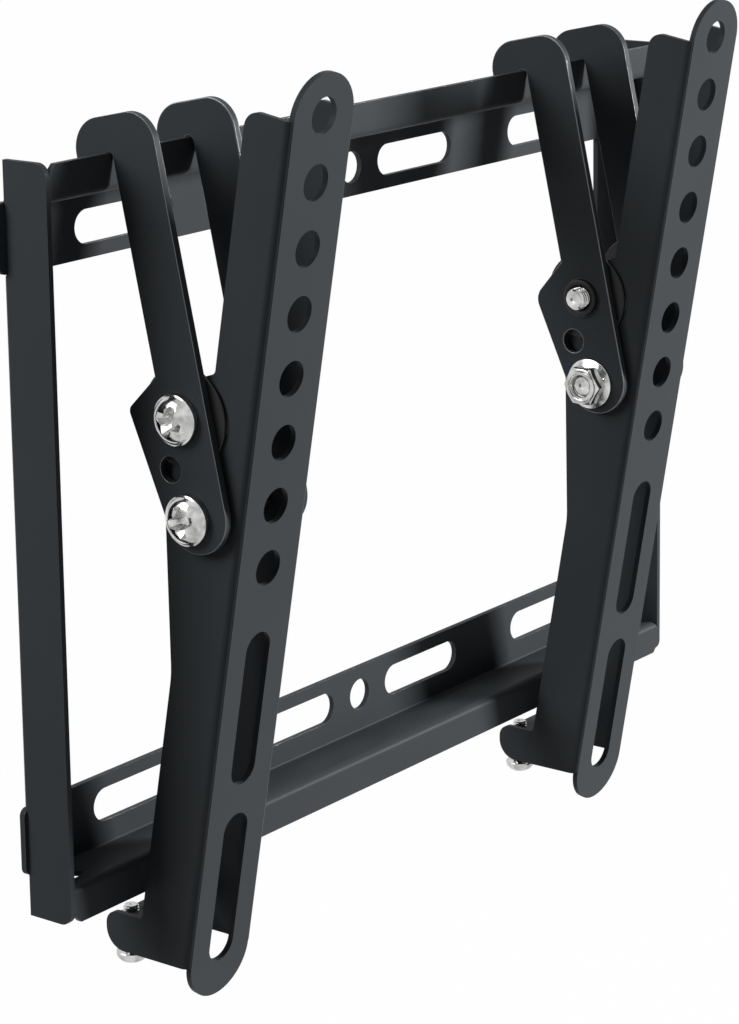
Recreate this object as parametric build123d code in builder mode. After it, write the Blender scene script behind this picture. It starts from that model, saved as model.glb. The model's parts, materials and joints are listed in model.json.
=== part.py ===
from build123d import *
from math import cos, hypot, radians, sin, tan
import os

# Tilting wall bracket for a small flat television.
# X runs along the wall to the right, Y runs into the wall, Z is up.
# The wall plane is Y = 0 and the origin is the centre of the wall frame.
# All sizes are millimetres.

os.makedirs("parts", exist_ok=True)

# Folded steel sheet
sheet = 1.5
bend_inside = 0.5
bend_middle = bend_inside + sheet / 2

# Wall frame, outside sizes
frame_width = 264.0
frame_height = 186.0
frame_depth = 15.0
side_corner_radius = 3.5
side_flange_width = 13.8

# Rails: plate on the wall, shelf towards the room, lip that carries the arms
lip_shy_of_side = 0.3
lip_height = 9.3
lip_corner = 2.0
rail_plate_height = 19.65
tab_height = 17.1
tab_corner = 2.0
top_tab_reach = 2.2
bottom_tab_reach = 1.0
relief_width = 4.0
relief_length = 9.0
relief_from_lip = 4.5

# Wall screw holes in both rails
slot_row_from_plate_edge = 7.75
slot_width = 8.5
outer_slot_length = 36.0
outer_slot_spacing = 180.4
inner_slot_length = 33.5
inner_slot_spacing = 56.5

# Places of the two arms along the rails, and how they stand
left_arm_from_side = 37.9
right_arm_from_side = 55.3
arm_tilt = 10.0
hook_lean = 12.2

# Pivot of each arm, measured from the middle of the top lip's upper edge
pivot_forward = 22.35
pivot_drop = 85.7

# Arm channel, measured from the pivot along the arm
channel_width = 25.0
web_front = 13.0
flange_top = 100.2
flange_top_radius = 4.0
flange_back = 0.0
ear_top = 36.0
ear_slope_drop = 8.4
ear_reach = 15.6
ear_corner_radius = 3.0
ear_foot = -42.0
ear_foot_reach = 2.6
ear_foot_radius = 25.0
bearing_gap = 1.0
notch_radius = 1.5

# Foot of the channel that passes under the bottom lip
foot_clearance = 6.8
foot_height = 10.0
foot_wall_gap = 3.0
foot_top_radius = 3.5
foot_bottom_radius = 5.5

# Tongue, the flat strip of the web that carries the television screws
tongue_width = 22.0
tongue_above_flange = 10.4
tongue_below_foot = 11.0
tv_hole_diameter = 9.0
tv_hole_count = 8
tv_hole_pitch = 16.0
tv_hole_from_end = 10.3
tv_slot_length = 40.5
tv_slot_pitch = 48.5
tv_slot_count = 2
tv_slot_from_hole = 37.05

# Hook plates
hook_thickness = 2.0
strip_width = 13.7
hook_seat_radius = 1.5
seat_above_axis = 1.25
hook_bridge = 8.4
hook_head_width = 25.1
hook_head_radius = 8.0
hook_leg_length = 5.15
hook_leg_radius = 2.5
shoulder_height = 34.4
shoulder_drop = 5.6
shoulder_reach = 10.1
outer_shoulder_radius = 2.0
inner_shoulder_radius = 4.5
boot_radius = 9.3
boot_forward = 1.9
boot_up = 0.6

# Tilt clamp, measured from the pivot in the hook plate
tilt_bolt_back = -2.34
tilt_bolt_up = 24.05
spare_hole_back = 3.07
spare_hole_up = 12.28
spare_hole_diameter = 6.5
tilt_slot_clearance = 0.3
tilt_slot_forward_angle = 6.2
tilt_slot_back_angle = 22.4

# M6 bolts, nuts and washers
bolt_radius = 3.0
running_clearance = 0.05
bolt_length = 35.0
bolt_tip_chamfer = 0.6
pan_head_radius = 6.3
pan_head_height = 4.2
pan_head_edge = 2.3
nut_flange_radius = 7.1
nut_flange_height = 1.4
nut_across_flats = 10.0
nut_height = 5.4
collar_radius = 5.2
collar_height = 3.5
collar_chamfer = 0.4
washer_thickness = 1.0
tilt_washer_radius = 12.5
pivot_washer_radius = 8.0

# Safety screw M4 and the plate that it is turned into
lock_plate_thickness = 2.5
lock_plate_depth = 9.5
lock_plate_below_notch = 1.5
lock_plate_back_gap = 1.2
lock_screw_radius = 2.0
lock_screw_length = 12.0
lock_head_radius = 4.0
lock_head_height = 3.0
lock_head_edge = 1.6
lock_screw_offset = -6.5
lock_screw_from_wall = 6.0
lock_screw_backed_off = 8.0

# Places that follow from the sizes above
side_inner_x = frame_width / 2 - sheet
lip_top = frame_height / 2 - lip_shy_of_side
shelf_outside = lip_top - lip_height + sheet
shelf_middle = shelf_outside - sheet / 2
rail_plate_edge = shelf_outside - rail_plate_height
slot_row_z = rail_plate_edge + slot_row_from_plate_edge
lip_middle_y = -frame_depth + sheet / 2
left_arm_x = -frame_width / 2 + left_arm_from_side
right_arm_x = frame_width / 2 - right_arm_from_side
pivot_y = lip_middle_y - pivot_forward
pivot_z = lip_top - pivot_drop
hinge_y = lip_middle_y
hinge_z = lip_top - seat_above_axis
channel_half = channel_width / 2
channel_inner_half = channel_half - sheet
hook_inner_x = channel_half + washer_thickness
hook_outer_x = hook_inner_x + hook_thickness
notch_floor_z = -lip_top - foot_clearance
foot_bottom_z = notch_floor_z - foot_height
lock_plate_top_z = notch_floor_z - lock_plate_below_notch


def arm_point(y, z):
    """A world point of the side view, in the arm's own side view."""
    lean = radians(arm_tilt)
    dy = y - pivot_y
    dz = z - pivot_z
    return (dy * cos(lean) + dz * sin(lean), -dy * sin(lean) + dz * cos(lean))


def arm_point_at_depth(depth, z):
    """The point of the arm's side view with this depth and this world height."""
    lean = radians(arm_tilt)
    return (depth, (z - pivot_z - depth * sin(lean)) / cos(lean))


def hook_point(y, z):
    """A world point of the side view, in the hook plate's own side view."""
    lean = radians(hook_lean)
    dy = y - pivot_y
    dz = z - pivot_z
    return (dy * cos(lean) - dz * sin(lean), dy * sin(lean) + dz * cos(lean))


def arm_side(x):
    """Plane of an arm's side view: first axis to the wall, second up the arm."""
    lean = radians(arm_tilt)
    return Plane(origin=(x, pivot_y, pivot_z), x_dir=(0, cos(lean), sin(lean)), z_dir=(1, 0, 0))


def arm_front(x, depth):
    """Plane parallel to an arm's front face: first axis to the right, second up the arm."""
    lean = radians(arm_tilt)
    origin = (x, pivot_y - depth * cos(lean), pivot_z - depth * sin(lean))
    return Plane(origin=origin, x_dir=(1, 0, 0), z_dir=(0, -cos(lean), -sin(lean)))


def arm_across(x):
    """Plane square to an arm: first axis to the right, second away from the wall."""
    lean = radians(arm_tilt)
    return Plane(
        origin=(x, pivot_y, pivot_z), x_dir=(1, 0, 0), z_dir=(0, sin(lean), -cos(lean))
    )


def hook_side(x):
    """Plane of a hook plate's side view: first axis to the wall, second up the strip."""
    lean = radians(hook_lean)
    return Plane(origin=(x, pivot_y, pivot_z), x_dir=(0, cos(lean), -sin(lean)), z_dir=(1, 0, 0))


def save(piece, name):
    """Label a finished piece and write it."""
    piece.part.label = name
    export_step(piece.part, f"parts/{name}.step")


# The tilt bolt stands at the same distance from the pivot at every tilt
tilt_bolt_distance = hypot(tilt_bolt_back, tilt_bolt_up)

# Television screw holes and slots, measured from the pivot along the arm
tongue_top = flange_top + tongue_above_flange
front_foot_height = arm_point_at_depth(-web_front, foot_bottom_z)[1]
tongue_bottom = front_foot_height - tongue_below_foot
first_hole_height = tongue_top - tv_hole_from_end
hole_row_middle = first_hole_height - (tv_hole_count - 1) * tv_hole_pitch / 2
last_hole_height = first_hole_height - (tv_hole_count - 1) * tv_hole_pitch
slot_row_middle = last_hole_height - tv_slot_from_hole - (tv_slot_count - 1) * tv_slot_pitch / 2


def rail(name, up, tab_reach):
    """One rail of the wall frame; up is 1 for the top rail and -1 for the bottom one."""
    relief_y = -frame_depth + relief_from_lip + relief_width / 2
    relief_x = side_inner_x - (relief_length - relief_width) / 2
    tab_middle = up * (rail_plate_edge + (rail_plate_height - sheet) / 2)
    with BuildPart() as piece:
        with BuildSketch(Plane.YZ):
            with BuildLine():
                FilletPolyline(
                    (-sheet / 2, up * rail_plate_edge),
                    (-sheet / 2, up * shelf_middle),
                    (lip_middle_y, up * shelf_middle),
                    (lip_middle_y, up * lip_top),
                    radius=bend_middle,
                )
            trace(line_width=sheet)
        extrude(amount=side_inner_x, both=True)
        lip_ends = (
            piece.edges()
            .filter_by(Axis.Y)
            .filter_by_position(Axis.Z, up * lip_top - 0.1, up * lip_top + 0.1)
        )
        chamfer(lip_ends, lip_corner)
        with BuildSketch(Plane.XZ):
            with Locations((0, tab_middle)):
                RectangleRounded(frame_width + 2 * tab_reach, tab_height, tab_corner)
        extrude(amount=sheet)
        with BuildSketch(Plane.XY.offset(up * shelf_middle)):
            with Locations((-relief_x, relief_y), (relief_x, relief_y)):
                SlotOverall(relief_length + relief_width, relief_width)
        extrude(amount=sheet, both=True, mode=Mode.SUBTRACT)
        with BuildSketch(Plane.XZ):
            with Locations((0, up * slot_row_z)):
                Circle(slot_width / 2)
                with GridLocations(inner_slot_spacing, 0, 2, 1):
                    SlotOverall(inner_slot_length, slot_width)
                with GridLocations(outer_slot_spacing, 0, 2, 1):
                    SlotOverall(outer_slot_length, slot_width)
        extrude(amount=sheet, mode=Mode.SUBTRACT)
    save(piece, name)


def side_member(name, out):
    """One side of the wall frame; out is -1 on the left and 1 on the right."""
    face_x = out * (side_inner_x + sheet / 2)
    flange_x = out * (frame_width / 2 - side_flange_width)
    with BuildPart() as piece:
        with BuildSketch(Plane.YZ.offset(face_x)) as face:
            with BuildLine():
                Polyline(
                    (-frame_depth, frame_height / 2),
                    (-sheet, frame_height / 2),
                    (-sheet, -frame_height / 2),
                    (-frame_depth, -frame_height / 2),
                    close=True,
                )
            make_face()
            fillet(face.vertices().group_by(Axis.X)[0], side_corner_radius)
        extrude(amount=sheet / 2, both=True)
        with BuildSketch(Plane.XY):
            with BuildLine():
                FilletPolyline(
                    (face_x, -frame_depth / 2),
                    (face_x, -sheet / 2),
                    (flange_x, -sheet / 2),
                    radius=bend_middle,
                )
            trace(line_width=sheet)
        extrude(amount=rail_plate_edge, both=True)
    save(piece, name)


def arm_channel(name, x):
    """Folded channel of one arm, with its tongue, ears and foot."""
    notch_depth = arm_point(-frame_depth - bearing_gap, -lip_top)[0]
    notch = arm_point_at_depth(notch_depth, notch_floor_z)
    foot_top = arm_point(-foot_wall_gap, notch_floor_z)
    foot_end = arm_point(-foot_wall_gap, foot_bottom_z)
    slot_radius = bolt_radius + tilt_slot_clearance
    slot_turn = tilt_slot_back_angle + tilt_slot_forward_angle
    tilt_path = CenterArc((0, 0), tilt_bolt_distance, 90 - tilt_slot_back_angle, slot_turn)
    with BuildPart() as piece:
        with BuildSketch(arm_side(x)):
            with BuildLine():
                FilletPolyline(
                    (-web_front, flange_top),
                    (flange_back, flange_top),
                    (flange_back, ear_top),
                    (ear_reach, ear_top - ear_slope_drop),
                    (ear_foot_reach, ear_foot),
                    notch,
                    foot_top,
                    foot_end,
                    (-web_front, front_foot_height),
                    close=True,
                    radius=[
                        0,
                        flange_top_radius,
                        notch_radius,
                        ear_corner_radius,
                        ear_foot_radius,
                        notch_radius,
                        foot_top_radius,
                        foot_bottom_radius,
                        0,
                    ],
                )
            make_face()
        extrude(amount=channel_half, both=True)
        with BuildSketch(arm_across(x)):
            with BuildLine():
                FilletPolyline(
                    (-channel_half + sheet / 2, -frame_depth - pivot_forward),
                    (-channel_half + sheet / 2, web_front - sheet / 2),
                    (channel_half - sheet / 2, web_front - sheet / 2),
                    (channel_half - sheet / 2, -frame_depth - pivot_forward),
                    radius=bend_middle,
                )
            trace(line_width=sheet)
        extrude(amount=frame_height, both=True, mode=Mode.INTERSECT)
        with BuildSketch(arm_front(x, web_front)):
            with Locations((0, (tongue_top + tongue_bottom) / 2)):
                SlotOverall(tongue_top - tongue_bottom, tongue_width, rotation=90)
        extrude(amount=-sheet)
        with BuildSketch(arm_front(x, web_front)):
            with Locations((0, hole_row_middle)):
                with GridLocations(0, tv_hole_pitch, 1, tv_hole_count):
                    Circle(tv_hole_diameter / 2)
            with Locations((0, slot_row_middle)):
                with GridLocations(0, tv_slot_pitch, 1, tv_slot_count):
                    SlotOverall(tv_slot_length, tv_hole_diameter, rotation=90)
        extrude(amount=-sheet, mode=Mode.SUBTRACT)
        with BuildSketch(arm_side(x)):
            Circle(bolt_radius + running_clearance)
            SlotArc(tilt_path, 2 * slot_radius)
        extrude(amount=channel_half, both=True, mode=Mode.SUBTRACT)
    save(piece, name)


def hook_plate(name, x, shoulder_radius, tilt_hole_radius):
    """Flat plate that hangs on the top lip; x is the middle of its thickness."""
    seat = hook_point(hinge_y, hinge_z)
    strip_back = seat[0] - hook_seat_radius
    strip_front = strip_back - strip_width
    head_back = strip_front + hook_head_width
    head_top = seat[1] + hook_seat_radius + hook_bridge
    leg_front_y = hinge_y + hook_seat_radius
    leg_bottom_z = hinge_z - hook_leg_length
    leg_front = hook_point(leg_front_y, leg_bottom_z)
    leg_back = (head_back, leg_front[1] + (head_back - leg_front[0]) * tan(radians(hook_lean)))
    seat_turn = radians(hook_lean)
    slot_back = (
        seat[0] + hook_seat_radius * cos(seat_turn),
        seat[1] + hook_seat_radius * sin(seat_turn),
    )
    slot_top = (seat[0], seat[1] + hook_seat_radius)
    shoulder = (
        strip_back + shoulder_reach - shoulder_radius,
        shoulder_height - shoulder_drop - shoulder_radius,
    )
    with BuildPart() as piece:
        with BuildSketch(hook_side(x)):
            with BuildLine():
                CenterArc((-boot_forward, boot_up), boot_radius, 0, 360)
                CenterArc(shoulder, shoulder_radius, 0, 360)
                Line((strip_front, shoulder_height), (strip_back, shoulder_height))
            make_hull()
            with BuildLine():
                FilletPolyline(
                    (strip_front, boot_up),
                    (strip_front, head_top),
                    (head_back, head_top),
                    leg_back,
                    leg_front,
                    slot_back,
                    (strip_back, seat[1]),
                    (strip_back, boot_up),
                    close=True,
                    radius=[0, hook_head_radius, hook_head_radius, hook_leg_radius, 0.8, 0, 0, 0],
                )
            make_face()
            with BuildLine():
                ThreePointArc((strip_back, seat[1]), slot_top, slot_back)
                Line(slot_back, (strip_back, seat[1]))
            make_face(mode=Mode.SUBTRACT)
            Circle(bolt_radius + running_clearance, mode=Mode.SUBTRACT)
            with Locations((tilt_bolt_back, tilt_bolt_up)):
                Circle(tilt_hole_radius, mode=Mode.SUBTRACT)
            with Locations((spare_hole_back, spare_hole_up)):
                Circle(spare_hole_diameter / 2, mode=Mode.SUBTRACT)
        extrude(amount=hook_thickness / 2, both=True)
    save(piece, name)


def screw(name, seat, towards_head, radius, length, head_radius, head_height, head_edge):
    """Pan head screw; seat is under the head and towards_head points out of it."""
    axis_plane = Plane(origin=seat, x_dir=towards_head, z_dir=(0, 1, 0))
    dome_middle = ((head_edge + 2 * head_height) / 3, head_radius * 0.8)
    with BuildPart() as piece:
        with BuildSketch(axis_plane):
            with BuildLine():
                Polyline(
                    (head_height, 0),
                    (-length, 0),
                    (-length, radius - bolt_tip_chamfer),
                    (-length + bolt_tip_chamfer, radius),
                    (0, radius),
                    (0, head_radius),
                    (head_edge, head_radius),
                )
                ThreePointArc((head_edge, head_radius), dome_middle, (head_height, head_radius * 0.3))
                Line((head_height, head_radius * 0.3), (head_height, 0))
            make_face()
        revolve(axis=Axis(origin=seat, direction=towards_head))
    save(piece, name)


def flange_nut(name, seat, outward):
    """Hexagon nut with a flange; seat is the plate's face under the flange."""
    face = Plane(origin=seat, x_dir=(0, 0, 1), z_dir=outward)
    with BuildPart() as piece:
        with BuildSketch(face):
            Circle(nut_flange_radius)
        extrude(amount=nut_flange_height)
        chamfer(piece.faces().sort_by(Axis(seat, outward))[-1].edges(), nut_flange_height * 0.6)
        with BuildSketch(face):
            RegularPolygon(nut_across_flats / 2, 6, major_radius=False)
        extrude(amount=nut_height)
        with BuildSketch(face):
            Circle(bolt_radius + running_clearance)
        extrude(amount=nut_height, mode=Mode.SUBTRACT)
    save(piece, name)


def collar_nut(name, seat, outward):
    """Round nut pressed into the inner hook plate; seat is the plate's inner face."""
    face = Plane(origin=seat, x_dir=(0, 0, 1), z_dir=outward)
    with BuildPart() as piece:
        with BuildSketch(face):
            Circle(collar_radius)
        extrude(amount=collar_height)
        chamfer(piece.faces().sort_by(Axis(seat, outward))[-1].edges(), collar_chamfer)
        with BuildSketch(face):
            Circle(bolt_radius + running_clearance)
        extrude(amount=collar_height, mode=Mode.SUBTRACT)
    save(piece, name)


def washer_pair(name, x, y, z, radius):
    """Two washers, one on each side of the channel."""
    with BuildPart() as piece:
        for face_x in (x - hook_inner_x, x + channel_half):
            with BuildSketch(Plane(origin=(face_x, y, z), x_dir=(0, 1, 0), z_dir=(1, 0, 0))):
                Circle(radius)
                Circle(bolt_radius + running_clearance, mode=Mode.SUBTRACT)
            extrude(amount=washer_thickness)
    save(piece, name)


def lock_plate(name, x):
    """Plate between the two sides of the foot, threaded for the safety screw."""
    back = -foot_wall_gap - lock_plate_back_gap
    with BuildPart() as piece:
        with BuildSketch(Plane.XY.offset(lock_plate_top_z)):
            with Locations((x, back - lock_plate_depth / 2)):
                Rectangle(2 * channel_inner_half, lock_plate_depth)
            with Locations((x + lock_screw_offset, -lock_screw_from_wall)):
                Circle(lock_screw_radius + running_clearance, mode=Mode.SUBTRACT)
        extrude(amount=-lock_plate_thickness)
    save(piece, name)


def arm_assembly(side, x, out):
    """All pieces of one arm; out is -1 on the left arm and 1 on the right arm."""
    lean = radians(hook_lean)
    tilt_y = pivot_y + tilt_bolt_back * cos(lean) + tilt_bolt_up * sin(lean)
    tilt_z = pivot_z - tilt_bolt_back * sin(lean) + tilt_bolt_up * cos(lean)
    head_x = x + out * hook_outer_x
    plate_middle = hook_inner_x + hook_thickness / 2
    lock_seat_z = lock_plate_top_z - lock_plate_thickness - lock_screw_backed_off
    arm_channel(f"{side}_arm_channel", x)
    lock_plate(f"{side}_lock_plate", x)
    hook_plate(
        f"{side}_outer_hook",
        x + out * plate_middle,
        outer_shoulder_radius,
        bolt_radius + running_clearance,
    )
    hook_plate(f"{side}_inner_hook", x - out * plate_middle, inner_shoulder_radius, collar_radius)
    for bolt, y, z in (("pivot", pivot_y, pivot_z), ("tilt", tilt_y, tilt_z)):
        screw(
            f"{side}_{bolt}_bolt",
            (head_x, y, z),
            (out, 0, 0),
            bolt_radius,
            bolt_length,
            pan_head_radius,
            pan_head_height,
            pan_head_edge,
        )
    flange_nut(f"{side}_pivot_nut", (x - out * hook_outer_x, pivot_y, pivot_z), (-out, 0, 0))
    collar_nut(f"{side}_tilt_nut", (x - out * hook_inner_x, tilt_y, tilt_z), (-out, 0, 0))
    washer_pair(f"{side}_pivot_washers", x, pivot_y, pivot_z, pivot_washer_radius)
    washer_pair(f"{side}_tilt_washers", x, tilt_y, tilt_z, tilt_washer_radius)
    screw(
        f"{side}_lock_screw",
        (x + lock_screw_offset, -lock_screw_from_wall, lock_seat_z),
        (0, 0, -1),
        lock_screw_radius,
        lock_screw_length,
        lock_head_radius,
        lock_head_height,
        lock_head_edge,
    )


rail("top_rail", 1, top_tab_reach)
rail("bottom_rail", -1, bottom_tab_reach)
side_member("left_side_member", -1)
side_member("right_side_member", 1)
arm_assembly("left", left_arm_x, -1)
arm_assembly("right", right_arm_x, 1)
print("pivot", round(pivot_y, 3), round(pivot_z, 3))
print("hook hinge", hinge_y, hinge_z)
print("arm from", round(tongue_bottom, 2), "to", round(tongue_top, 2))
print("tilt bolt", round(tilt_bolt_distance, 3), "from the pivot")
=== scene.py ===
# %% [markdown]
# A tilting wall bracket for a television
#
# The real object is folded and punched steel under a satin black powder coat, with a few bright
# zinc screws. The imported model already has every plate, arm and hook at its real size. This
# notebook gives each of them the soft cut edges, the coat, the screw threads and the light that
# make it read as the real thing. First the frame is loaded.

# %% Load the imported model
import json
import math

import bmesh
import bpy
from mathutils import Matrix, Vector


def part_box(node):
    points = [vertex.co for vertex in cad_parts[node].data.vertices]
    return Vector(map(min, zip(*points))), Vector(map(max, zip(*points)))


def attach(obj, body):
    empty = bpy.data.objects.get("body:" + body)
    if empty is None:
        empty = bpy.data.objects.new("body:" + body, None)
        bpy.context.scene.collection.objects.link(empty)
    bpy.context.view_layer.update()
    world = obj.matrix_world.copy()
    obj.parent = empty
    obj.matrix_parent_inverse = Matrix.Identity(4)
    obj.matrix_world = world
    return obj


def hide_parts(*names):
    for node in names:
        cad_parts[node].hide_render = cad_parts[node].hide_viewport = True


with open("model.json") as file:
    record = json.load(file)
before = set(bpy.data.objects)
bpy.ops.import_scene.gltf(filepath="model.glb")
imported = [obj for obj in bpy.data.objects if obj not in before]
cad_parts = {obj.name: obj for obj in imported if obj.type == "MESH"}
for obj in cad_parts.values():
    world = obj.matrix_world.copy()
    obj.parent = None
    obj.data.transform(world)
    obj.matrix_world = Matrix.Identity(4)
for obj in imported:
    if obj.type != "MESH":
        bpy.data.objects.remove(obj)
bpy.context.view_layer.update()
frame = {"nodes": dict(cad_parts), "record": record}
slot_of = {part["node"]: part["material_slot"] for part in frame["record"]["subparts"]}
body_of = {
    node: body
    for body, members in frame["record"]["behaviour"]["bodies"].items()
    for node in members
}

# %% [markdown]
# The bracket was photographed from its front left and from above with a long lens. The camera is
# turned and rolled step by step from a plain starting direction, because three named angles are
# easier to read and to correct than a matrix. A small lens shift keeps the uprights nearly
# parallel, as they are in the photograph.

# %% Camera
MM = 0.001
PHOTO_HEIGHT_PX = 1024
FOCAL_PX = 3222.0
SENSOR_MM = 36.0
LENS_SHIFT = -0.2
NEAREST_DRAWN = 0.01
FARTHEST_DRAWN = 50.0
camera_place = Vector((-666.1, -517.6, 209.6)) * MM
camera_yaw = math.radians(52.52)
camera_pitch = math.radians(-11.70)
camera_roll = math.radians(-0.84)

lens = bpy.data.cameras.new("long_lens")
lens.sensor_width = SENSOR_MM
lens.lens = FOCAL_PX * SENSOR_MM / PHOTO_HEIGHT_PX
lens.shift_y = LENS_SHIFT
lens.clip_start = NEAREST_DRAWN
lens.clip_end = FARTHEST_DRAWN
camera = bpy.data.objects.new("camera", lens)
bpy.context.scene.collection.objects.link(camera)
camera.matrix_world = (
    Matrix.Translation(camera_place)
    @ Matrix.Rotation(-camera_yaw, 4, "Z")
    @ Matrix.Rotation(math.pi / 2 + camera_pitch, 4, "X")
    @ Matrix.Rotation(camera_roll, 4, "Z")
)
bpy.context.scene.camera = camera
print("lens", round(lens.lens, 1), "mm")

# %% [markdown]
# Light and paint are both made of nodes, and a chain of Math nodes is hard to read as a list of
# links. So one small class wraps a socket, and adding, subtracting or multiplying it adds the
# Math node. A second one holds a node tree, and its only method makes every other node.

# %% A wrapper for shader sockets
class Signal:
    """A socket that can be used in plain arithmetic; each operation adds one Math node."""

    def __init__(self, finish, socket):
        self.finish = finish
        self.socket = socket

    def _math(self, operation, first, second):
        return self.finish.node("ShaderNodeMath", {"operation": operation}, {0: first, 1: second})

    def __add__(self, other):
        return self._math("ADD", self, other)

    def __radd__(self, other):
        return self._math("ADD", other, self)

    def __sub__(self, other):
        return self._math("SUBTRACT", self, other)

    def __rsub__(self, other):
        return self._math("SUBTRACT", other, self)

    def __mul__(self, other):
        return self._math("MULTIPLY", self, other)

    def __rmul__(self, other):
        return self._math("MULTIPLY", other, self)


class Finish:
    """A node tree under construction."""

    def __init__(self, tree):
        self.tree = tree
        self.tree.nodes.clear()

    def node(self, kind, settings=None, inputs=None, output=0):
        """One node: its settings come first, then the values and links of its sockets."""
        made = self.tree.nodes.new(kind)
        for name, value in (settings or {}).items():
            setattr(made, name, value)
        for name, value in (inputs or {}).items():
            if isinstance(value, Signal):
                self.tree.links.new(value.socket, made.inputs[name])
            else:
                made.inputs[name].default_value = value
        return Signal(self, made.outputs[output]) if made.outputs else made


print("wrappers", Signal.__name__, Finish.__name__)

# %% [markdown]
# The white ground of the photograph is an even world. Camera rays, mirror rays and see-through
# rays meet plain white there, so bright screws show a white room. All other rays meet a world
# that is nearly dark, because an evenly white one would flood the black coat with light and take
# away the shading that the lamps give it.

# %% World
AMBIENT = 0.025
WHITE = (1, 1, 1, 1)


def seen_directly(finish):
    """One for camera, mirror and see-through rays, and nought for all other light."""
    rays = finish.node("ShaderNodeLightPath").socket.node.outputs
    camera_ray = Signal(finish, rays["Is Camera Ray"])
    mirror_ray = Signal(finish, rays["Is Glossy Ray"])
    through_ray = Signal(finish, rays["Is Transmission Ray"])
    return finish.node(
        "ShaderNodeMath",
        {"operation": "ADD", "use_clamp": True},
        {0: camera_ray + mirror_ray, 1: through_ray},
    )


world = bpy.data.worlds.new("white_room")
bpy.context.scene.world = world
world.use_nodes = True
room = Finish(world.node_tree)
room_strength = seen_directly(room) * (1.0 - AMBIENT) + AMBIENT
room_light = room.node("ShaderNodeBackground", {}, {"Color": WHITE, "Strength": room_strength})
room.node("ShaderNodeOutputWorld", {}, {"Surface": room_light})
print("ambient", AMBIENT)

# %% [markdown]
# The key lamp stands to the right in front of the bracket and lights the front faces of the arms
# and rails. A near and much weaker lamp hangs at the upper left: it grazes the hook plates and
# the sides of the arms, which grow darker towards their feet, and it gives the screw heads their
# white spots. A weak lamp overhead lifts the shelves of the rails. All three are area lamps,
# because points and suns would draw hard shadows that the photograph doesn't have.

# %% Lamps
def soft_lamp(name, place, size, power):
    """An area lamp that faces the middle of the bracket; size in metres, power in watts."""
    lamp = bpy.data.lights.new(name, "AREA")
    lamp.shape = "RECTANGLE"
    lamp.size, lamp.size_y = size
    lamp.energy = power
    holder = bpy.data.objects.new(name, lamp)
    holder.location = place
    to_middle = -Vector(place)
    holder.rotation_euler = to_middle.to_track_quat("-Z", "Y").to_euler()
    bpy.context.scene.collection.objects.link(holder)


soft_lamp("key_right", (1.70, -1.42, 0.45), (0.4, 0.6), 77.0)
soft_lamp("rear_left", (-0.66, 0.36, 0.46), (0.5, 0.5), 4.4)
soft_lamp("top", (0.2, -0.2, 1.9), (0.9, 0.9), 6.0)

# %% [markdown]
# The floor is plain and pale and lies well below the bracket, because the real one hangs on a
# wall. Camera, mirror and see-through rays meet nearly even white there, and the rest is real
# light, so the floor stays pale and still takes a faint shadow.

# %% Floor
FLOOR_HEIGHT = -0.42
FLOOR_SIZE = 14.0
FLOOR_GREY = (0.4, 0.4, 0.4, 1)
EVEN_SHARE = 0.99


def new_finish(name):
    """A material and its empty node tree."""
    material = bpy.data.materials.new(name)
    material.use_nodes = True
    return material, Finish(material.node_tree)


bpy.ops.mesh.primitive_plane_add(size=FLOOR_SIZE, location=(0, 0, FLOOR_HEIGHT))
floor = bpy.context.object
floor.name = "floor"
floor_coat, pale = new_finish("pale_floor")
matt = pale.node("ShaderNodeBsdfDiffuse", {}, {"Color": FLOOR_GREY})
even = pale.node("ShaderNodeEmission", {}, {"Color": WHITE, "Strength": 1.0})
even_part = seen_directly(pale) * EVEN_SHARE
floor_look = pale.node("ShaderNodeMixShader", {}, {0: even_part, 1: matt, 2: even})
pale.node("ShaderNodeOutputMaterial", {}, {"Surface": floor_look})
floor.data.materials.append(floor_coat)
print("floor at", FLOOR_HEIGHT)

# %% [markdown]
# Powder coat is baked plastic paint. From near it has a faint orange peel, half a millimetre
# across, and its gloss changes slowly from place to place. An image could carry both, but noise
# on the object's own coordinates keeps the grain at its real size on every plate.
#
# On a rounded edge the powder flows thinner and smoother before it sets, so the edges get a
# glossier finish of their own. Their colour is also three times paler than the coat, which is a
# painted highlight: together they draw the thin bright lines that run along every plate in the
# photograph.

# %% Paint
PEEL_SCALE = 1500.0
GRAIN_SCALE = 420.0
DRIFT_SCALE = 28.0
PEEL_STRENGTH = 0.18
GRAIN_SWING = 0.06
DRIFT_SWING = 0.10
DARKEST = 0.9
PALEST = 1.1


def noise(finish, place, scale, detail, distortion=0.0):
    """Cloudy noise; the scale says how fine it is, about so many patches to the metre."""
    return finish.node(
        "ShaderNodeTexNoise",
        {},
        {"Vector": place, "Scale": scale, "Detail": detail, "Distortion": distortion},
    )


def colour_between(finish, factor, low, high):
    """A colour that runs from low to high while the factor runs from nought to one."""
    return finish.node(
        "ShaderNodeMix",
        {"data_type": "RGBA"},
        {"Factor": factor, "A": [*low, 1], "B": [*high, 1]},
        "Result",
    )


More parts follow.
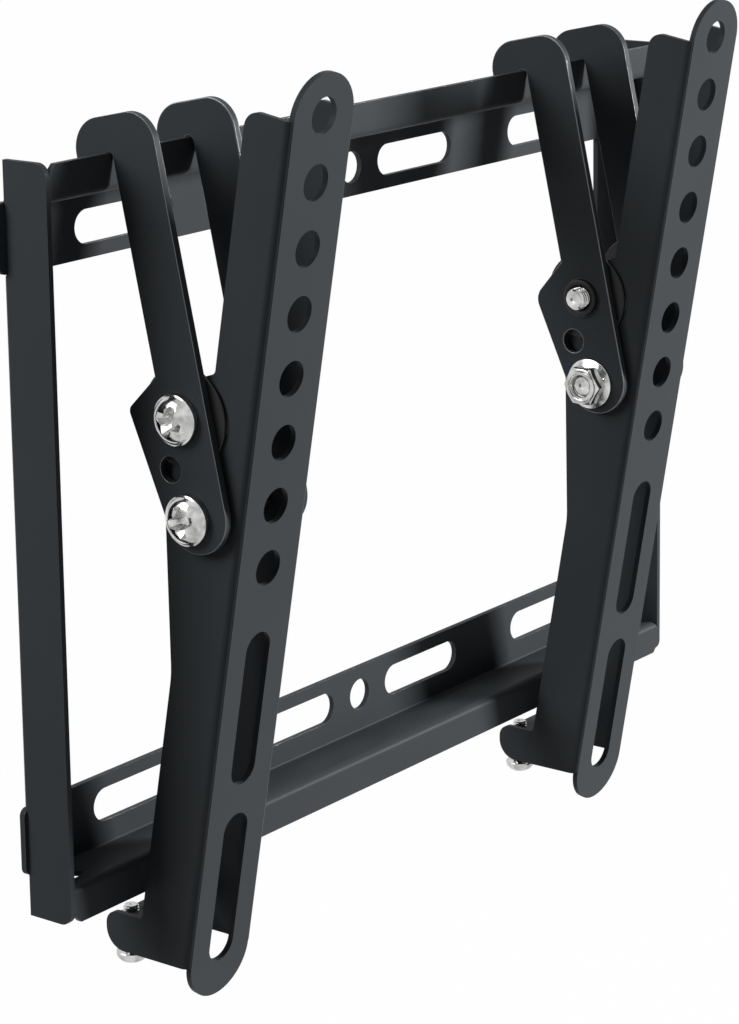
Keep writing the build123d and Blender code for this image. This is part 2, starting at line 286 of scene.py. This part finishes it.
def painted(name, colour, roughness, peel_height, gloss):
    """Baked paint on steel with a fine orange peel; gloss is the specular level."""
    coat, mix = new_finish(name)
    place = mix.node("ShaderNodeTexCoord", output="Object")
    peel = noise(mix, place, PEEL_SCALE, 2.0)
    drift = noise(mix, place, DRIFT_SCALE, 3.0)
    grain = noise(mix, place, GRAIN_SCALE, 3.0)
    dark = [c * DARKEST for c in colour]
    light = [c * PALEST for c in colour]
    smoothest = roughness - (DRIFT_SWING + GRAIN_SWING) / 2
    bump = mix.node(
        "ShaderNodeBump", {}, {"Height": peel, "Strength": PEEL_STRENGTH, "Distance": peel_height}
    )
    skin = mix.node(
        "ShaderNodeBsdfPrincipled",
        {},
        {
            "Base Color": colour_between(mix, drift, dark, light),
            "Roughness": drift * DRIFT_SWING + (grain * GRAIN_SWING + smoothest),
            "Normal": bump,
            "Specular IOR Level": gloss,
        },
    )
    mix.node("ShaderNodeOutputMaterial", {}, {"Surface": skin})
    return coat


POWDER_BLACK = (0.055, 0.0615, 0.067)
# painted highlight: the edge colour is three times the coat's, standing in for light caught by
# the rounded edges
PAINTED_EDGE_HIGHLIGHT = [c * 3.0 for c in POWDER_BLACK]
OXIDE_BLACK = (0.010, 0.010, 0.011)
coat_finish = painted("satin_black_powder_coat", POWDER_BLACK, 0.42, 0.04 * MM, 0.03)
coat_edge_highlight = painted("powder_coat_painted_edge_highlight", PAINTED_EDGE_HIGHLIGHT, 0.24, 0.02 * MM, 0.9)
oxide_finish = painted("black_oxide", OXIDE_BLACK, 0.40, 0.02 * MM, 0.25)
print("paints", coat_finish.name, coat_edge_highlight.name, oxide_finish.name)

# %% [markdown]
# The screws are zinc plated. The plating is bright but never a mirror, and an even metal colour
# looks like a drawing. Three noises of different sizes give it life: one moves the colour between
# bright and dull in soft patches, which paints reflection onto the heads, the dark and the white
# that the metal would mirror, besides the plating's own uneven tone; one moves the gloss, and the
# finest dents the surface with tumbling marks.

# %% Zinc
SHEEN_SCALE = 380.0
CLOUD_SCALE = 700.0
MARK_SCALE = 2600.0
SHEEN_CONTRAST = 2.6
MARK_STRENGTH = 0.12
CLOUD_SWING = 0.14
REFLECTION_DARK_SHARE = 0.5


def plated(name, colour, roughness):
    """Bright plated steel with fine handling marks and painted reflection patches in its colour.
    """
    coat, mix = new_finish(name)
    place = mix.node("ShaderNodeTexCoord", output="Object")
    cloud = noise(mix, place, CLOUD_SCALE, 4.0)
    sheen = noise(mix, place, SHEEN_SCALE, 4.0, 0.4)
    marks = noise(mix, place, MARK_SCALE, 2.0)
    # painted reflection: noise patches darken the zinc colour as if it mirrored dark things, on
    # top of the plating's own uneven tone
    painted_reflection_patches = sheen * SHEEN_CONTRAST - (SHEEN_CONTRAST - 1) / 2
    reflection_dark_colour = [c * REFLECTION_DARK_SHARE for c in colour]
    bump = mix.node(
        "ShaderNodeBump",
        {},
        {"Height": marks, "Strength": MARK_STRENGTH, "Distance": 0.03 * MM},
    )
    skin = mix.node(
        "ShaderNodeBsdfPrincipled",
        {},
        {
            "Base Color": colour_between(mix, painted_reflection_patches, reflection_dark_colour, colour),
            "Metallic": 1.0,
            "Roughness": cloud * CLOUD_SWING + (roughness - CLOUD_SWING / 2),
            "Normal": bump,
        },
    )
    mix.node("ShaderNodeOutputMaterial", {}, {"Surface": skin})
    return coat


zinc_finish = plated("bright_zinc", (0.68, 0.68, 0.67), 0.15)
print("plating", zinc_finish.name)

# %% [markdown]
# Punched sheet never has a knife edge: the press rounds one side and the paint pools on the
# other, and that thin rounding is what catches the light along every edge. A Bevel node in the
# material could fake it, but the exported model would lose that. So each plate is copied, its
# facets are joined again into flat faces, and a narrow bevel is cut along its sharp edges. The
# bevel takes the second material of the copy, which is the edge finish.

# %% Rounded sheet edges
SHEET_EDGE = 0.32 * MM
SAME_SPOT = 0.002 * MM
SAME_PLANE = math.radians(0.5)
BEND_ANGLE = math.radians(35)
CUT_ANGLE = math.radians(40)


def settle(piece, node):
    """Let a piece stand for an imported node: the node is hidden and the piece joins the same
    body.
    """
    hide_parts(node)
    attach(piece, body_of[node])


def shade(mesh, sharp_angle):
    """Smooth shading that stays sharp where faces meet at more than this angle."""
    mesh.shade_smooth()
    mesh.set_sharp_from_angle(angle=sharp_angle)


def round_corners(piece, width, sharp_angle):
    """A bevel of two steps along every edge sharper than this angle."""
    rounding = piece.modifiers.new("rounding", "BEVEL")
    rounding.width = width
    rounding.segments = 2
    rounding.limit_method = "ANGLE"
    rounding.angle_limit = sharp_angle
    return rounding


def sheet_copy(node, face_finish, edge_finish):
    """A copy of a plate with rounded cut edges."""
    shape = bmesh.new()
    shape.from_mesh(frame["nodes"][node].data)
    bmesh.ops.remove_doubles(shape, verts=shape.verts, dist=SAME_SPOT)
    bmesh.ops.dissolve_limit(
        shape, angle_limit=SAME_PLANE, verts=shape.verts, edges=shape.edges
    )
    mesh = bpy.data.meshes.new(node + "_shape")
    shape.to_mesh(mesh)
    shape.free()
    mesh.materials.append(face_finish)
    mesh.materials.append(edge_finish)
    shade(mesh, BEND_ANGLE)
    piece = bpy.data.objects.new(node + "_sheet", mesh)
    bpy.context.scene.collection.objects.link(piece)
    rounding = round_corners(piece, SHEET_EDGE, CUT_ANGLE)
    rounding.use_clamp_overlap = True
    rounding.harden_normals = True
    # the bevel's faces take the second material; on coated plates that is the painted edge
    # highlight
    rounding.material = 1
    settle(piece, node)


for node, slot in slot_of.items():
    if slot == "powder_coat":
        sheet_copy(node, coat_finish, coat_edge_highlight)
    elif node.endswith("washers"):
        sheet_copy(node, oxide_finish, oxide_finish)

# %% [markdown]
# Screws and nuts are turned on a lathe, and so are their shapes here: a profile of radius and
# height goes round an axis. Blender's Screw modifier could do the same, but a few lines of mesh
# code keep the profile in plain millimetres. Every fastener is drawn round its own Z axis, with
# its seat at zero and its outside upwards, and is stood on its real seat afterwards. The seat
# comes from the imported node's box, so a fastener can't drift away from its hole.

# %% Lathe
def lathe(shape, profile, segments):
    """Turn a profile of (radius, height) round Z; going up makes faces that look outward."""
    rings = []
    for radius, height in profile:
        if radius == 0:
            rings.append([shape.verts.new((0, 0, height))] * segments)
            continue
        ring = []
        for step in range(segments):
            angle = 2 * math.pi * step / segments
            spot = (radius * math.cos(angle), radius * math.sin(angle), height)
            ring.append(shape.verts.new(spot))
        rings.append(ring)
    for low, high in zip(rings, rings[1:]):
        for step in range(segments):
            after = (step + 1) % segments
            corners = []
            for corner in (low[step], low[after], high[after], high[step]):
                if corner not in corners:
                    corners.append(corner)
            if len(corners) > 2:
                shape.faces.new(corners)


def object_from(name, shape, finish):
    """An object in the scene from finished mesh data."""
    mesh = bpy.data.meshes.new(name)
    shape.to_mesh(mesh)
    shape.free()
    mesh.materials.append(finish)
    piece = bpy.data.objects.new(name, mesh)
    bpy.context.scene.collection.objects.link(piece)
    return piece


def turned(name, profile, segments, finish):
    """An object that is one turned profile."""
    shape = bmesh.new()
    lathe(shape, profile, segments)
    return object_from(name, shape, finish)


print("lathe ready")

# %% [markdown]
# A fastener that is ready gets its place in three steps: its millimetres become metres, its axis
# is laid along the hole, and it is moved to its seat. The steps go into the mesh itself, so that
# the piece's own origin stays with the frame's.

# %% Standing a fastener on its seat
FASTENER_ANGLE = math.radians(33)


def standing(seat, outward, turn):
    """The matrix that lays Z along outward, puts zero on the seat and turns round the axis."""
    outward = Vector(outward)
    across = Vector((1, 0, 0)) if abs(outward.z) > 0.5 else Vector((0, 0, 1))
    axes = Matrix((across, outward.cross(across), outward)).transposed()
    size = Matrix.Scale(MM, 4)
    return Matrix.Translation(seat) @ axes.to_4x4() @ Matrix.Rotation(turn, 4, "Z") @ size


def seat_of(node, outward, shank):
    """Seat of a fastener: the inner end of its box, moved outward by the shank's length."""
    low, high = (Vector(corner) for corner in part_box(node))
    outward = Vector(outward)
    middle = (low + high) / 2
    half = (high - low) / 2
    reach = sum(abs(outward[k]) * half[k] for k in range(3))
    return middle + outward * (shank - reach)


def fasten(piece, node, outward, turn=0.0, shank=0.0):
    """Stand a finished fastener on its seat, turned by some degrees, in place of its node."""
    seat = seat_of(node, outward, shank)
    piece.data.transform(standing(seat, outward, math.radians(turn)))
    shade(piece.data, FASTENER_ANGLE)
    settle(piece, node)


print("fasteners in zinc", sum(slot == "zinc" for slot in slot_of.values()))

# %% [markdown]
# A cross recess and a hexagon can't be turned, so they are cut with Boolean tools: the recess is
# a star that narrows towards its bottom, and the hexagon is a six-sided bar that is cut down by a
# cone, which leaves the curved corners of a real nut. The result is kept as a plain mesh.

# %% Cutting
MACHINED_ANGLE = math.radians(32)


def bake_modifiers(piece):
    """Keep what the modifiers made as the piece's own mesh."""
    graph = bpy.context.evaluated_depsgraph_get()
    piece.data = bpy.data.meshes.new_from_object(piece.evaluated_get(graph))
    piece.modifiers.clear()


def carve(piece, tool, operation):
    """Cut one closed shape with another and keep the result."""
    step = piece.modifiers.new("carve", "BOOLEAN")
    step.operation = operation
    step.solver = "EXACT"
    step.object = tool
    bake_modifiers(piece)
    bpy.data.objects.remove(tool)


def soften(piece, width):
    """A small even rounding of the corners of a machined piece."""
    round_corners(piece, width, MACHINED_ANGLE)
    bake_modifiers(piece)


def add_mesh(piece, shape):
    """Add loose mesh data to a piece."""
    shape.from_mesh(piece.data)
    shape.to_mesh(piece.data)
    shape.free()


def cross_tool(top, bottom):
    """A four-winged star between two levels: (height, wing length, half width, inner corner)."""
    shape = bmesh.new()
    rings = []
    for height, reach, half, corner in (bottom, top):
        ring = []
        for quarter in range(4):
            turn = Matrix.Rotation(quarter * math.pi / 2, 3, "Z")
            for spot in ((reach, -half, height), (reach, half, height), (corner, corner, height)):
                ring.append(shape.verts.new(turn @ Vector(spot)))
        rings.append(ring)
    count = len(rings[0])
    for step in range(count):
        after = (step + 1) % count
        shape.faces.new((rings[0][step], rings[0][after], rings[1][after], rings[1][step]))
    shape.faces.new(list(reversed(rings[0])))
    shape.faces.new(rings[1])
    return object_from("cross_tool", shape, zinc_finish)


print("corners sharper than", round(math.degrees(MACHINED_ANGLE)), "degrees are softened")

# %% [markdown]
# The M6 thread has a pitch of 1 mm and the M4 thread one of 0.7 mm. Stacked rings would look
# right from afar, but the open end of a bolt shows that they don't climb. So the ridge is a real
# helix: four points of the thread's section walk round the shank and rise by one pitch a turn.
# Its ends are pressed flat on the seat and on the tip, and the first turns are cut back to a lead
# chamfer.

# %% Screw thread
THREAD_DEPTH = 0.61
RIDGE = (0.0, 0.3125, 0.4375, 0.75)
LEAD_START = 0.05
LEAD_SLOPE = 0.9
THREAD_STEPS = 40


def thread(shape, radius, pitch, length):
    """A thread of this length below zero, with its tip; depth and ridge count in pitches."""
    root = radius - THREAD_DEPTH * pitch
    section = list(zip(RIDGE, (root, radius, radius, root)))
    steps = THREAD_STEPS * (math.ceil(length / pitch) + 2)
    columns = []
    for step in range(steps + 1):
        angle = 2 * math.pi * step / THREAD_STEPS
        column = []
        for rise, reach in section:
            height = -length - pitch + pitch * (step / THREAD_STEPS + rise)
            height = min(max(height, -length), 0.0)
            reach = min(reach, root + LEAD_START + (height + length) * LEAD_SLOPE)
            spot = (reach * math.cos(angle), reach * math.sin(angle), height)
            column.append(shape.verts.new(spot))
        columns.append(column)
    for step in range(steps):
        here, after = columns[step], columns[step + 1]
        for k in range(3):
            shape.faces.new((here[k], after[k], after[k + 1], here[k + 1]))
        if step + 1 + THREAD_STEPS <= steps:
            above, beyond = columns[step + THREAD_STEPS], columns[step + 1 + THREAD_STEPS]
            shape.faces.new((here[3], after[3], beyond[0], above[0]))
    rim = root + 0.06
    tip = ((0, 0.35), (root * 0.3, 0.25), (root * 0.55, 0.02), (rim, 0.0), (rim, 0.1))
    lathe(shape, [(reach, rise - length) for reach, rise in tip], THREAD_STEPS)


print("thread ridge", THREAD_DEPTH, "of its pitch deep")

# %% [markdown]
# The pan heads have a flat rim ring, a low dome and a large cross recess whose wings reach two
# thirds of the way to the rim, with a steep wall at the wing's end. Both sizes of screw are made
# by one function, and each has a table of its measures in millimetres: the head's profile as
# radius and height, and the cross at its top and at its bottom.

# %% Screws
HEAD_SEGMENTS = 64
SIDES = {"left": -1, "right": 1}


def screw(node, outward, size, turn):
    """A pan head screw of one size, turned by some degrees about its axis."""
    piece = turned(node + "_screw", size["head"], HEAD_SEGMENTS, zinc_finish)
    carve(piece, cross_tool(*size["cross"]), "DIFFERENCE")
    soften(piece, size["corner"])
    shank = bmesh.new()
    thread(shank, size["radius"], size["pitch"], size["length"])
    add_mesh(piece, shank)
    fasten(piece, node, outward, turn, size["length"] * MM)


M6_SCREW = {
    "radius": 3.0,
    "pitch": 1.0,
    "length": 35.0,
    "corner": 0.10,
    "head": [
        (0, 0), (6.15, 0), (6.3, 0.2), (6.3, 1.5), (6.22, 1.78), (5.86, 1.96), (5.72, 2.12),
        (5.4, 2.66), (4.9, 3.14), (4.2, 3.56), (3.3, 3.88), (2.2, 4.08), (1.0, 4.18), (0, 4.2),
    ],
    "cross": ((4.8, 4.35, 0.98, 1.65), (0.9, 2.3, 0.55, 0.85)),
}
M4_SCREW = {
    "radius": 2.0,
    "pitch": 0.7,
    "length": 12.0,
    "corner": 0.07,
    "head": [
        (0, 0), (3.9, 0), (4.0, 0.15), (4.0, 1.0), (3.9, 1.35), (3.6, 1.85), (3.1, 2.35),
        (2.4, 2.72), (1.5, 2.92), (0.7, 2.99), (0, 3.0),
    ],
    "cross": ((3.4, 2.5, 0.6, 1.0), (0.7, 1.3, 0.35, 0.55)),
}
for side, out in SIDES.items():
    screw(f"{side}_pivot_bolt", (out, 0, 0), M6_SCREW, 14)
    screw(f"{side}_tilt_bolt", (out, 0, 0), M6_SCREW, -20)
    screw(f"{side}_lock_screw", (0, 0, -1), M4_SCREW, 35)
M6_HEAD_WIDTH = 2 * max(radius for radius, height in M6_SCREW["head"])
print("M6 head", round(M6_HEAD_WIDTH, 1), "mm across")

# %% [markdown]
# The pivot nut is a hexagon on a flange with a raised ring round its thread. The tilt nut is a
# plain black collar pressed into the hook plate, and the bolt's end stands out of it. Both are
# profiles in millimetres again, and only the hexagon needs the cutting tools.

# %% Nuts
NUT_SEGMENTS = 64
BORE_SEGMENTS = 48
NUT_CORNER = 0.09
SEAM = 1e-4
HEXAGON = [(0, 0.4), (5.774, 0.4), (5.774, 4.95), (0, 4.95)]
CORNER_CONE = [(0, -1), (6.5, -1), (6.5, 4.0), (4.72, 4.95), (4.6, 5.6), (0, 5.6)]
BORE = [(0, -1), (3.05, -1), (3.05, 4.2), (3.5, 6), (0, 6)]
FLANGE = [(3.1, 0), (6.95, 0), (7.1, 0.15), (7.1, 0.55), (6.95, 0.8), (5.3, 1.45), (4.6, 1.6)]
RAISED_RING = [(4.45, 4.7), (4.38, 5.15), (4.2, 5.36), (3.85, 5.4), (3.6, 5.28), (3.4, 4.6)]
COLLAR = [
    (3.06, 0), (5.2, 0), (5.2, 3.05), (5.1, 3.32), (4.85, 3.48), (4.6, 3.5),
    (3.95, 3.5), (3.75, 3.42), (3.3, 2.95), (3.06, 2.8), (3.06, 0),
]


def flange_nut(node, outward):
    """Hexagon nut with a flange and a raised ring."""
    piece = turned(node + "_hexagon", HEXAGON, 6, zinc_finish)
    carve(piece, turned("cone_tool", CORNER_CONE, NUT_SEGMENTS, zinc_finish), "INTERSECT")
    carve(piece, turned("bore_tool", BORE, BORE_SEGMENTS, zinc_finish), "DIFFERENCE")
    soften(piece, NUT_CORNER)
    rings = bmesh.new()
    lathe(rings, FLANGE, NUT_SEGMENTS)
    lathe(rings, RAISED_RING, NUT_SEGMENTS)
    add_mesh(piece, rings)
    fasten(piece, node, outward, 30)


def collar_nut(node, outward):
    """Round nut with a countersunk bore; its first and last ring are joined at the seam."""
    shape = bmesh.new()
    lathe(shape, COLLAR, NUT_SEGMENTS)
    bmesh.ops.remove_doubles(shape, verts=shape.verts, dist=SEAM)
    fasten(object_from(node + "_collar", shape, oxide_finish), node, outward)


for side, out in SIDES.items():
    flange_nut(f"{side}_pivot_nut", (-out, 0, 0))
    collar_nut(f"{side}_tilt_nut", (-out, 0, 0))

# %% [markdown]
# The shelves of the rails are welded to the side plates, and the small threaded plates are welded
# between the sides of the arms' feet. A weld bead is a short rounded bar with ripples across it,
# painted over with the rest, and the lathe makes it too. Half of it lies in the plates that it
# joins. The beads of the threaded plates lie on their upper side, where the screw's head doesn't
# come.

# %% Weld beads
BEAD_STEP = 0.25
BEAD_SEGMENTS = 24
RIPPLE_PITCH = 1.1
RIPPLE_DEPTH = 0.10
END_TAPER = 1.2


def bead(name, start, end, size, body):
    """A rippled bead from start to end, in mm, half sunk in a corner."""
    start, end = Vector(start), Vector(end)
    length = (end - start).length
    rows = int(length / BEAD_STEP)
    profile = [(0, 0.0)]
    for row in range(1, rows):
        along = length * row / rows
        taper = min(1.0, math.sqrt(min(along, length - along) / (size * END_TAPER)))
        wave = 0.5 + 0.5 * math.cos(2 * math.pi * along / RIPPLE_PITCH)
        profile.append((size * taper * (1.0 - RIPPLE_DEPTH * wave), along))
    profile.append((0, length))
    piece = turned(name, profile, BEAD_SEGMENTS, coat_finish)
    aim = (end - start).to_track_quat("Z", "Y").to_matrix().to_4x4()
    piece.data.transform(Matrix.Scale(MM, 4) @ Matrix.Translation(start) @ aim)
    piece.data.shade_smooth()
    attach(piece, body)


SHEET = 1.5
LIP_HEIGHT = 9.3
SHELF_BEAD = 0.9
SHELF_BEAD_FRONT = -6.4
SHELF_BEAD_REAR = -2.2
rail_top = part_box("top_rail")[1][2] / MM
side_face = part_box("right_side_member")[1][0] / MM
shelf_z = rail_top - LIP_HEIGHT + SHEET
weld_x = side_face - SHEET
for rail, up in (("top", 1), ("bottom", -1)):
    for side, out in SIDES.items():
        ends = [(out * weld_x, y, up * shelf_z) for y in (SHELF_BEAD_FRONT, SHELF_BEAD_REAR)]
        bead(f"{rail}_{side}_bead", ends[0], ends[1], SHELF_BEAD, "wall_frame")

PLATE_BEAD = 0.8
PLATE_BEAD_INSET = 1.2
for side in SIDES:
    low, high = (Vector(corner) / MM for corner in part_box(f"{side}_lock_plate"))
    front, rear = low.y + PLATE_BEAD_INSET, high.y - PLATE_BEAD_INSET
    for wall, wall_x in (("outer", low.x), ("inner", high.x)):
        ends = [(wall_x, y, high.z) for y in (front, rear)]
        bead(f"{side}_{wall}_plate_bead", ends[0], ends[1], PLATE_BEAD, f"{side}_arm")

# %% [markdown]
# Last, colours are shown as they are written, with no film look over them.

# %% Colours as written
bpy.context.scene.view_settings.view_transform = "Standard"
